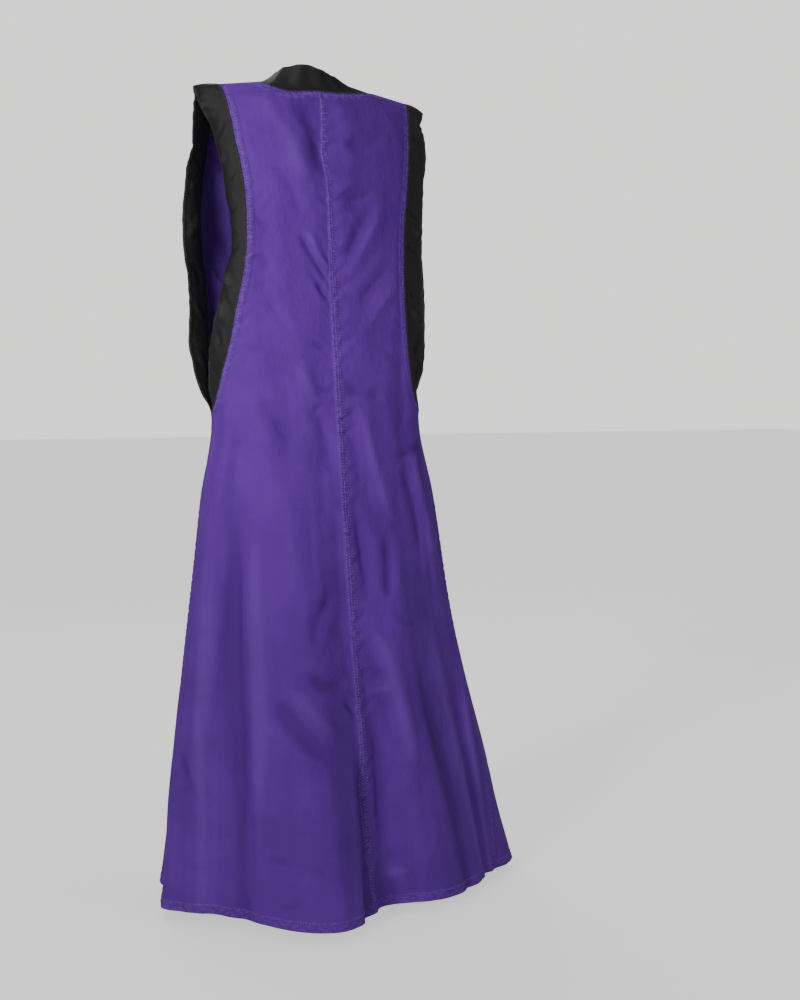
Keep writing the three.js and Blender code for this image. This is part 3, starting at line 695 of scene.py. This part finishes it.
def arm_band(side, face, start, end, columns=22):
    """The cloth of one band from one drop to another. It curls as it leaves the seam."""
    fine = row_drops("back", 4.0)
    keep = (fine <= ARMHOLE_DROP) & (fine > start + 0.8) & (fine < end - 0.8)
    drops = np.concatenate([[start], fine[keep], [end]])
    point, normal, way, across = seam_frames(side, face, drops)
    width = read(ARM_BANDS, "width", drops)[:, None]
    curl = np.radians(read(ARM_BANDS, f"{side}_{face}", drops))
    strip = [point + across * SEAM_GAP]
    for k in range(columns - 1):
        turn = (curl * (k + 0.5) / (columns - 1))[:, None]
        step = across * np.cos(turn) - normal * np.sin(turn)
        strip.append(strip[-1] + step * (width / (columns - 1)))
    points = np.stack(strip, 1)
    normals = strip_normals(points, way, across, normal)
    away = np.linspace(0, 1, columns)[None, :] * width
    along = np.broadcast_to(drops[:, None], away.shape)
    crease = np.zeros(away.shape)
    for high, size, *line in BAND_CREASES[f"{side}_{face}"]:
        places = list(zip(line[::2], line[1::2]))
        crease += BAND_CREASE_DEPTH * high * soft_line(along, away, places, size, False)
    crease += 0.8 * pucker(along * 0.45 + away * 0.3, SEEDS["band"]) * smoothstep(away, 4, 22)
    ends = smoothstep(along - start, 0, 7) * smoothstep(end - along, 0, 7)
    off_seam = smoothstep(away, 0, 6)
    height = crease * off_seam * ends * smoothstep(width, 8, 24)
    from_outer = width - away
    seams = bell(away, BAND_STITCH["run"], 0.9) + bell(from_outer, BAND_STITCH["from_outer"], 0.9)
    height -= 0.35 * seams * ends
    height += 0.55 * pucker(along, SEEDS["band_seam"]) * bell(away, 3, 5) * ends * off_seam
    if start > 0:
        height += 0.6 * np.exp(-(along - start) / 5) * off_seam
    points = points + normals * height[..., None]
    points[0] += way[0] * SEAM_GAP / 2
    points[-1] -= way[-1] * SEAM_GAP / 2
    edges = np.minimum(away, from_outer)
    return {"points": points, "normals": strip_normals(points, way, across, normal),
            "flat": np.stack([away, along], -1), "crease": crease, "seam": smoothstep(6 - edges, 0, 4),
            "run": away, "from_outer": from_outer}


def neck_band(rows=16):
    """The cloth of the neck band, from the neckline up to its standing edge."""
    points, normals, turns = [], [], []
    for side, face, order in (("left", "back", 1), ("right", "back", -1), ("right", "front", 1),
                              ("left", "front", -1)):
        drops = NECK[face] * np.sin(np.linspace(0, 1, 30) * np.pi / 2)
        drops[-1] = NECK[face]
        inner = inner_angle(side, face, drops)
        turn = on_face(side, face, np.degrees(np.arcsin(np.clip(drops / NECK[face], 0, 1)))) % 360
        for found, part in ((points, surface(inner, drops)), (normals, outward_normal(inner, drops)),
                            (turns, turn)):
            found.append(part[::order][1:])
    points, normals, turns = np.concatenate(points), np.concatenate(normals), np.concatenate(turns)
    way = np.roll(points, -1, 0) - np.roll(points, 1, 0)
    across = unit(np.cross(way, normals))
    middle = np.stack([np.full(len(points), NECK["centre"]), np.zeros(len(points)), points[:, 2]], -1)
    across = np.where(((middle - points) * across).sum(-1, keepdims=True) < 0, -across, across)
    start, rise = points + across * SEAM_GAP, points + across * NECK_BAND_LIFT
    x, y, z = (read_round(NECK_EDGE, key, turns) for key in "xyz")
    edge = np.stack([NECK["centre"] + x, y, z], -1)
    t = np.linspace(0, 1, rows)[None, :, None]
    grid = start[:, None] * (1 - t) ** 2 + 2 * rise[:, None] * t * (1 - t) + edge[:, None] * t * t
    hand = np.sign((np.cross(way, across) * normals).sum(-1))

    def facing(g):
        along = np.roll(g, -1, 0) - np.roll(g, 1, 0)
        result = unit(np.cross(along, np.gradient(g, axis=1))) * hand[:, None, None]
        result[:, 0] = normals
        return result

    t = t[..., 0]
    crease = np.zeros(grid.shape[:2])
    for place, half, high in NECK_WRINKLES:
        away = ((turns[:, None] - place + 3 * (t - 0.5) + 180) % 360 - 180) / half
        crease += high * bell(away, 0, 1) * smoothstep(t, 0.12, 0.6)
    height = crease - 0.35 * bell(t, 0.93, 0.03) - 0.3 * bell(t, 0.07, 0.03)
    grid = grid + facing(grid) * height[..., None]
    grid, normals, crease = (np.concatenate([g, g[:1]]) for g in (grid, facing(grid), crease))
    run = way_along(grid[:, -1])
    flat = np.stack(np.broadcast_arrays(run[:, None], np.linspace(0, 40, rows)[None, :]), -1)
    return {"points": grid, "normals": normals, "flat": flat, "crease": crease, "seam": np.zeros(crease.shape)}


# ---- Materials ----

class Nodes:
    """Short forms for building one material's node tree."""

    def __init__(self, name):
        self.material = bpy.data.materials.new(name)
        self.material.use_nodes = True
        self.tree = self.material.node_tree
        self.shader = self.tree.nodes["Principled BSDF"]

    def add(self, kind, **values):
        node = self.tree.nodes.new(kind)
        for key, value in values.items():
            setattr(node, key, value)
        return node

    def put(self, value, socket):
        """Link another node's socket into this one, or set a plain value on it."""
        if hasattr(value, "links"):
            self.tree.links.new(value, socket)
        else:
            socket.default_value = value

    def set(self, **values):
        for key, value in values.items():
            self.put(value, self.shader.inputs[key.replace("_", " ")])

    def make(self, kind, inputs, output=0, **values):
        node = self.add(kind, **values)
        for key, value in inputs.items():
            self.put(value, node.inputs[key])
        return node.outputs[output]

    def math(self, operation, a, b=0.0):
        return self.make("ShaderNodeMath", {0: a, 1: b}, operation=operation)

    def times(self, a, b):
        return self.math("MULTIPLY", a, b)

    def plus(self, a, b):
        return self.math("ADD", a, b)

    def mix(self, factor, a, b):
        return self.make("ShaderNodeMix", {0: factor, 6: a, 7: b}, 2, data_type="RGBA", blend_type="MIX")

    def noise(self, vector, scale, detail=3.0, roughness=0.55, kind="FBM"):
        inputs = {"Scale": scale, "Detail": detail, "Roughness": roughness, "Vector": vector}
        return self.make("ShaderNodeTexNoise", inputs, "Fac", noise_type=kind)

    def ramp(self, value, low, high):
        return self.make("ShaderNodeMapRange", {0: value, 1: low, 2: high})

    def bump(self, height, strength, distance, below=None):
        inputs = {"Strength": strength, "Distance": distance, "Height": height}
        if below is not None:
            inputs["Normal"] = below
        return self.make("ShaderNodeBump", inputs)

    def stretched(self, vector, x, y):
        return self.make("ShaderNodeMapping", {"Scale": (x, y, 1), "Vector": vector})


def srgb(r, g, b):
    """Linear light from a colour in steps of 0 to 255."""
    return tuple(((c / 255 + 0.055) / 1.055) ** 2.4 if c > 10 else c / 255 / 12.92 for c in (r, g, b)) + (1.0,)


def cotton(name, light, dark, pale_tone, sheen, roughness, threads, bump, gloss=0.18):
    """Plain woven cotton: threads both ways and uneven yarn. Crease crests are paler (painted highlight) and
    crease troughs darker (painted shade); seams are paler on their pucker tops (wear and painted highlight) and
    darker in the dips (painted shade); the rims are paler.
    """
    light, dark, pale_tone = srgb(*light), srgb(*dark), srgb(*pale_tone)
    n = Nodes(name)
    flat = n.add("ShaderNodeUVMap", uv_map="flat").outputs[0]
    crease, seam, edge = (n.add("ShaderNodeAttribute", attribute_name=key).outputs["Fac"]
                          for key in ("crease", "seam", "edge"))
    cloud = n.noise(flat, 9, 4)
    speck = n.noise(flat, 420, 4, 0.7)
    warp = n.noise(n.stretched(flat, 900, 24), 1, 3)
    weft = n.noise(n.stretched(flat, 30, 900), 1, 2)
    crinkle = n.noise(n.stretched(flat, 110, 170), 1, 4, 0.7)
    yarn = n.plus(n.times(warp, 0.6), n.times(weft, 0.4))
    # Painted shade: the crease troughs, and the painted shade of the upper back, are coloured darker.
    hollow = n.ramp(n.times(crease, -1.0), 0.6, 4.5)
    # Seam wear and painted highlight: the seams are paler on the tops of the crinkle that also raises their
    # bump, and painted shade darkens its dips.
    seam_wear_and_highlight = n.times(seam, n.ramp(crinkle, 0.42, 0.7))
    painted_pucker_shade = n.times(seam, n.ramp(crinkle, 0.5, 0.3))
    # Painted highlight on the crease crests and painted shade in the hollows and pucker dips; the clouds are
    # random tone, and the rims are paler.
    colour = light
    for part, share, shade in ((n.ramp(cloud, 0.35, 0.65), 0.45, dark), (n.ramp(crease, 0.8, 5.0), 0.22, pale_tone),
                               (hollow, 0.7, dark), (seam_wear_and_highlight, 0.6, pale_tone), (painted_pucker_shade, 0.5, dark), (edge, 0.3, pale_tone)):
        colour = n.mix(n.times(part, share), colour, shade)
    grain = n.plus(n.times(yarn, 0.34), n.times(speck, 0.3))
    colour = n.make("ShaderNodeHueSaturation", {"Color": colour, "Value": n.plus(grain, 0.68)})
    waves = []
    for x, y in ((threads, 0), (0, threads)):
        part = n.add("ShaderNodeSeparateXYZ")
        n.put(n.stretched(flat, x, y), part.inputs[0])
        waves.append(n.math("SINE", n.plus(part.outputs[0], part.outputs[1])))
    weave = n.plus(n.times(waves[0], waves[1]), n.times(yarn, 2.0))
    rumple = n.times(n.plus(n.times(seam, 1.9), 0.16), crinkle)
    ridges = n.noise(n.stretched(flat, 26, 15), 1, 4, 0.6, "RIDGED_MULTIFRACTAL")
    relief = n.bump(n.plus(weave, n.times(speck, 1.6)), bump, 0.0004)
    relief = n.bump(rumple, 0.8, 0.0022, relief)
    relief = n.bump(n.noise(n.stretched(flat, 34, 22), 1, 3, 0.6), 0.7, 0.004, relief)
    relief = n.bump(ridges, 0.5, 0.004, relief)
    n.set(Base_Color=colour, Normal=relief, Roughness=n.plus(n.times(speck, 0.2), roughness - 0.1),
          Sheen_Weight=sheen, Sheen_Roughness=0.4, Sheen_Tint=pale_tone, Specular_IOR_Level=gloss)
    return n.material


def thread(name, light, dark):
    n = Nodes(name)
    place = n.add("ShaderNodeTexCoord").outputs["Object"]
    colour = n.mix(n.ramp(n.noise(place, 900, 2), 0.3, 0.7), srgb(*dark), srgb(*light))
    n.set(Base_Color=colour, Normal=n.bump(n.noise(place, 2600, 1), 0.4, 0.0002), Roughness=0.5,
          Sheen_Weight=0.2)
    return n.material


# The inside colours are paler than the outside ones: painted light that lifts the shaded inside of the dress
# and of the bands.
PURPLE = [cotton("purple_outside", (96, 46, 156), (76, 32, 128), (128, 84, 188), 0.02, 0.74, 4200, 0.35),
          cotton("purple_inside", (108, 62, 166), (88, 48, 144), (126, 88, 182), 0.03, 0.85, 4200, 0.3)]
BLACK = [cotton("black_outside", (31, 31, 32), (20, 20, 21), (68, 68, 69), 0.06, 0.55, 5200, 0.35, 0.26),
         cotton("black_inside", (36, 36, 37), (26, 26, 27), (66, 66, 67), 0.06, 0.5, 5200, 0.3, 0.4)]
purple_thread = thread("purple_thread", (152, 120, 210), (112, 82, 172))
black_thread = thread("black_thread", (62, 62, 64), (24, 24, 26))


# ---- The dress ----

def dress_piece(name, nodes, sheet, thickness, materials):
    obj, area = shell(name + ".cloth", sheet, thickness, materials)
    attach(obj, "root")
    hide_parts(*nodes)


def dress_stitches(name, lines, material):
    obj = stitch_rows(name, lines, material)
    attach(obj, "root")


def both_faces(points, normals, lift):
    """The same line on the outside and on the inside of the cloth."""
    return [(points + sign * normals * lift, sign * normals) for sign in (1, -1)]


# Each panel: row step, columns and the flat size that it is cut from, in metres.
PANELS = {"back_left": (3.1, 88, (0.50, 1.44)), "back_right": (3.1, 76, (0.42, 1.44)),
          "front_left": (4.4, 62, (0.42, 1.44)), "front_right": (4.4, 80, (0.56, 1.44))}
panels = {}
for name, (step, columns, flat) in PANELS.items():
    face, side = name.split("_")
    panels[name] = panel_half(side, face, step, columns)
for name, (step, columns, flat) in PANELS.items():
    nodes = [name + "_upper", name + "_skirt"]
    dress_piece(name, nodes, panels[name], PANEL_CLOTH, PURPLE)

bands = {}
for side, split in BAND_SPLITS.items():
    for name, face, start, end in ((f"{side}_back_band_upper", "back", 0.0, split),
                                   (f"{side}_back_band_lower", "back", split, ARMHOLE_DROP),
                                   (f"{side}_front_band", "front", 0.0, ARMHOLE_DROP)):
        bands[name] = arm_band(side, face, start, end)
        run = np.linalg.norm(np.diff(bands[name]["points"][:, 0], axis=0), axis=1).sum() * MM
        flat = (0.052, round(run * 1.02, 3))
        dress_piece(name, [name], bands[name], BAND_CLOTH, BLACK)
neck = neck_band()
dress_piece("neck_band", ["neck_band"], neck, BAND_CLOTH, BLACK)

# The stitches
lift = PANEL_CLOTH / 2
middle_lines, neck_lines, armhole_lines, hem_lines, band_lines = [], [], [], [], []
for name, panel in panels.items():
    face, side = name.split("_")
    drops = panel["drops"]
    rows = np.flatnonzero(drops > NECK[face] + 6)
    middle_lines.append(line_on_rows(panel, "run", SEAM_STITCH, rows, lift))
    if name == "back_left":
        rows = rows[drops[rows] > SECOND_STITCH["from"]]
        middle_lines.append(line_on_rows(panel, "run", SECOND_STITCH["way"], rows, lift))
    rows = np.flatnonzero((drops > 6) & (drops < ARMHOLE_DROP - 1))
    armhole_lines.append(line_on_rows(panel, "from_outer", ARMHOLE_STITCH, rows, lift))
    row = int(np.argmin(np.abs(drops - (LENGTH - HEM_STITCH))))
    hem_lines += both_faces(panel["points"][row], panel["normals"][row], lift)
    half, deep = NECK[side], NECK[face]
    drops = (deep + NECK_STITCH) * np.sin(np.radians(np.linspace(22 if face == "back" else 5, 90, 120)))
    runs = ((half + NECK_STITCH) * np.sqrt(np.maximum(0, 1 - (drops / (deep + NECK_STITCH)) ** 2))
            - half * np.sqrt(np.maximum(0, 1 - (drops / deep) ** 2)))
    neck_lines.append(line_at(panel, drops, runs, lift))
for band in bands.values():
    rows = np.flatnonzero((band["run"][:, -1] > 12))
    for key, distance in BAND_STITCH.items():
        for sign in (1, -1):
            points, normals = line_on_rows(band, key, distance, rows, sign * BAND_CLOTH / 2)
            band_lines.append((points, sign * normals))
for row in NECK_BAND_STITCH_ROWS:
    band_lines += both_faces(neck["points"][:, row], neck["normals"][:, row], BAND_CLOTH / 2)
dress_stitches("middle_seam_stitches", middle_lines, purple_thread)
dress_stitches("neck_stitches", neck_lines, purple_thread)
dress_stitches("armhole_stitches", armhole_lines, purple_thread)
dress_stitches("hem_stitches", hem_lines, purple_thread)
dress_stitches("band_stitches", band_lines, black_thread)


# ---- Floor, light and camera ----

FLOOR = {"half": 30.0, "z": -1.4215}
WARM = (1.0, 0.985, 0.965)
CAMERA = {"distance": 2.95, "azimuth": 28, "z": -0.54, "lens": 1654, "frame": 1000, "right": 95, "down": 104}


def floor():
    size, z = FLOOR["half"], FLOOR["z"]
    obj = mesh_object("floor", [(-size, -size, z), (size, -size, z), (size, size, z), (-size, size, z)],
                      [(0, 1, 2, 3)], [])
    n = Nodes("floor_paint")
    place = n.add("ShaderNodeTexCoord").outputs["Object"]
    seen = n.add("ShaderNodeLightPath").outputs["Is Camera Ray"]
    paint = n.mix(n.ramp(n.noise(place, 3, 3), 0.35, 0.65), srgb(232, 231, 229), srgb(238, 237, 236))
    n.set(Base_Color=paint, Roughness=0.9, Emission_Color=(0.93, 0.92, 0.91, 1),
          Emission_Strength=n.times(seen, 0.8))
    obj.data.materials.append(n.material)


def lamp(name, kind, place, target, power, colour, **settings):
    data = bpy.data.lights.new(name, kind)
    data.energy, data.color = power, colour
    for key, value in settings.items():
        setattr(data, key, value)
    obj = bpy.data.objects.new(name, data)
    obj.location = place
    obj.rotation_euler = (Vector(target) - Vector(place)).to_track_quat("-Z", "Y").to_euler()
    bpy.context.scene.collection.objects.link(obj)


def cos_sin(angle):
    return float(np.cos(angle)), float(np.sin(angle))


def camera():
    """The photo's camera. Its lens and its turn right and down are in pixels of the picture's height."""
    distance, lens = CAMERA["distance"], CAMERA["lens"]
    c, s = cos_sin(float(np.radians(CAMERA["azimuth"])))
    place = Vector((distance * s, distance * c, CAMERA["z"]))
    ahead = Vector((-s, -c, 0))
    right = Vector((ahead.y, -ahead.x, 0))
    c, s = cos_sin(float(np.arctan(CAMERA["right"] / lens)))
    level = ahead * c + right * s
    right = Vector((level.y, -level.x, 0))
    c, s = cos_sin(float(np.arctan(CAMERA["down"] / lens)))
    look = level * c + Vector((0, 0, -s))
    data = bpy.data.cameras.new("camera")
    data.sensor_width = 36
    data.lens = lens / CAMERA["frame"] * data.sensor_width
    data.dof.use_dof = False
    obj = bpy.data.objects.new("camera", data)
    axes = Matrix((right, right.cross(look), -look)).transposed().to_4x4()
    obj.matrix_world = Matrix.Translation(place) @ axes
    bpy.context.scene.collection.objects.link(obj)
    bpy.context.scene.camera = obj
    return ahead, right


def studio():
    """An even pale light all round, and a brighter wall for the camera alone."""
    world = bpy.data.worlds.new("studio")
    world.use_nodes = True
    tree = world.node_tree
    light, wall = tree.nodes["Background"], tree.nodes.new("ShaderNodeBackground")
    blend, path = tree.nodes.new("ShaderNodeMixShader"), tree.nodes.new("ShaderNodeLightPath")
    for node, colour, strength in ((light, (1.0, 0.97, 0.98, 1), 0.28), (wall, (0.91, 0.9, 0.885, 1), 1.5)):
        node.inputs["Color"].default_value, node.inputs["Strength"].default_value = colour, strength
    for start, end in ((path.outputs["Is Camera Ray"], blend.inputs[0]), (light.outputs[0], blend.inputs[1]),
                       (wall.outputs[0], blend.inputs[2]),
                       (blend.outputs[0], tree.nodes["World Output"].inputs["Surface"])):
        tree.links.new(start, end)
    bpy.context.scene.world = world


floor()
ahead, right = camera()
up = Vector((0, 0, 1))
centre = Vector((0, 0.05, -0.7))
shoulder = Vector((0, 0, -0.32)) - right * 0.12
lamp("key", "SUN", (0, 0, 0), ahead + right * 0.55 - up * 0.3, 1.44, WARM, angle=0.3)
lamp("upper", "SPOT", shoulder - right * 0.9 - ahead * 1.7 + up * 0.6, shoulder, 98, WARM,
     spot_size=float(np.radians(42)), spot_blend=1.0, shadow_soft_size=0.3)
lamp("fill", "AREA", centre + right * 3.2 - ahead * 2.4 + up * 0.9, centre, 21, (1.0, 0.97, 0.98),
     shape="DISK", size=2.6)
lamp("front", "AREA", centre + ahead * 2.0 - right * 0.8 + up * 2.4, centre, 20, (1.0, 0.985, 0.97),
     shape="DISK", size=1.6)
studio()
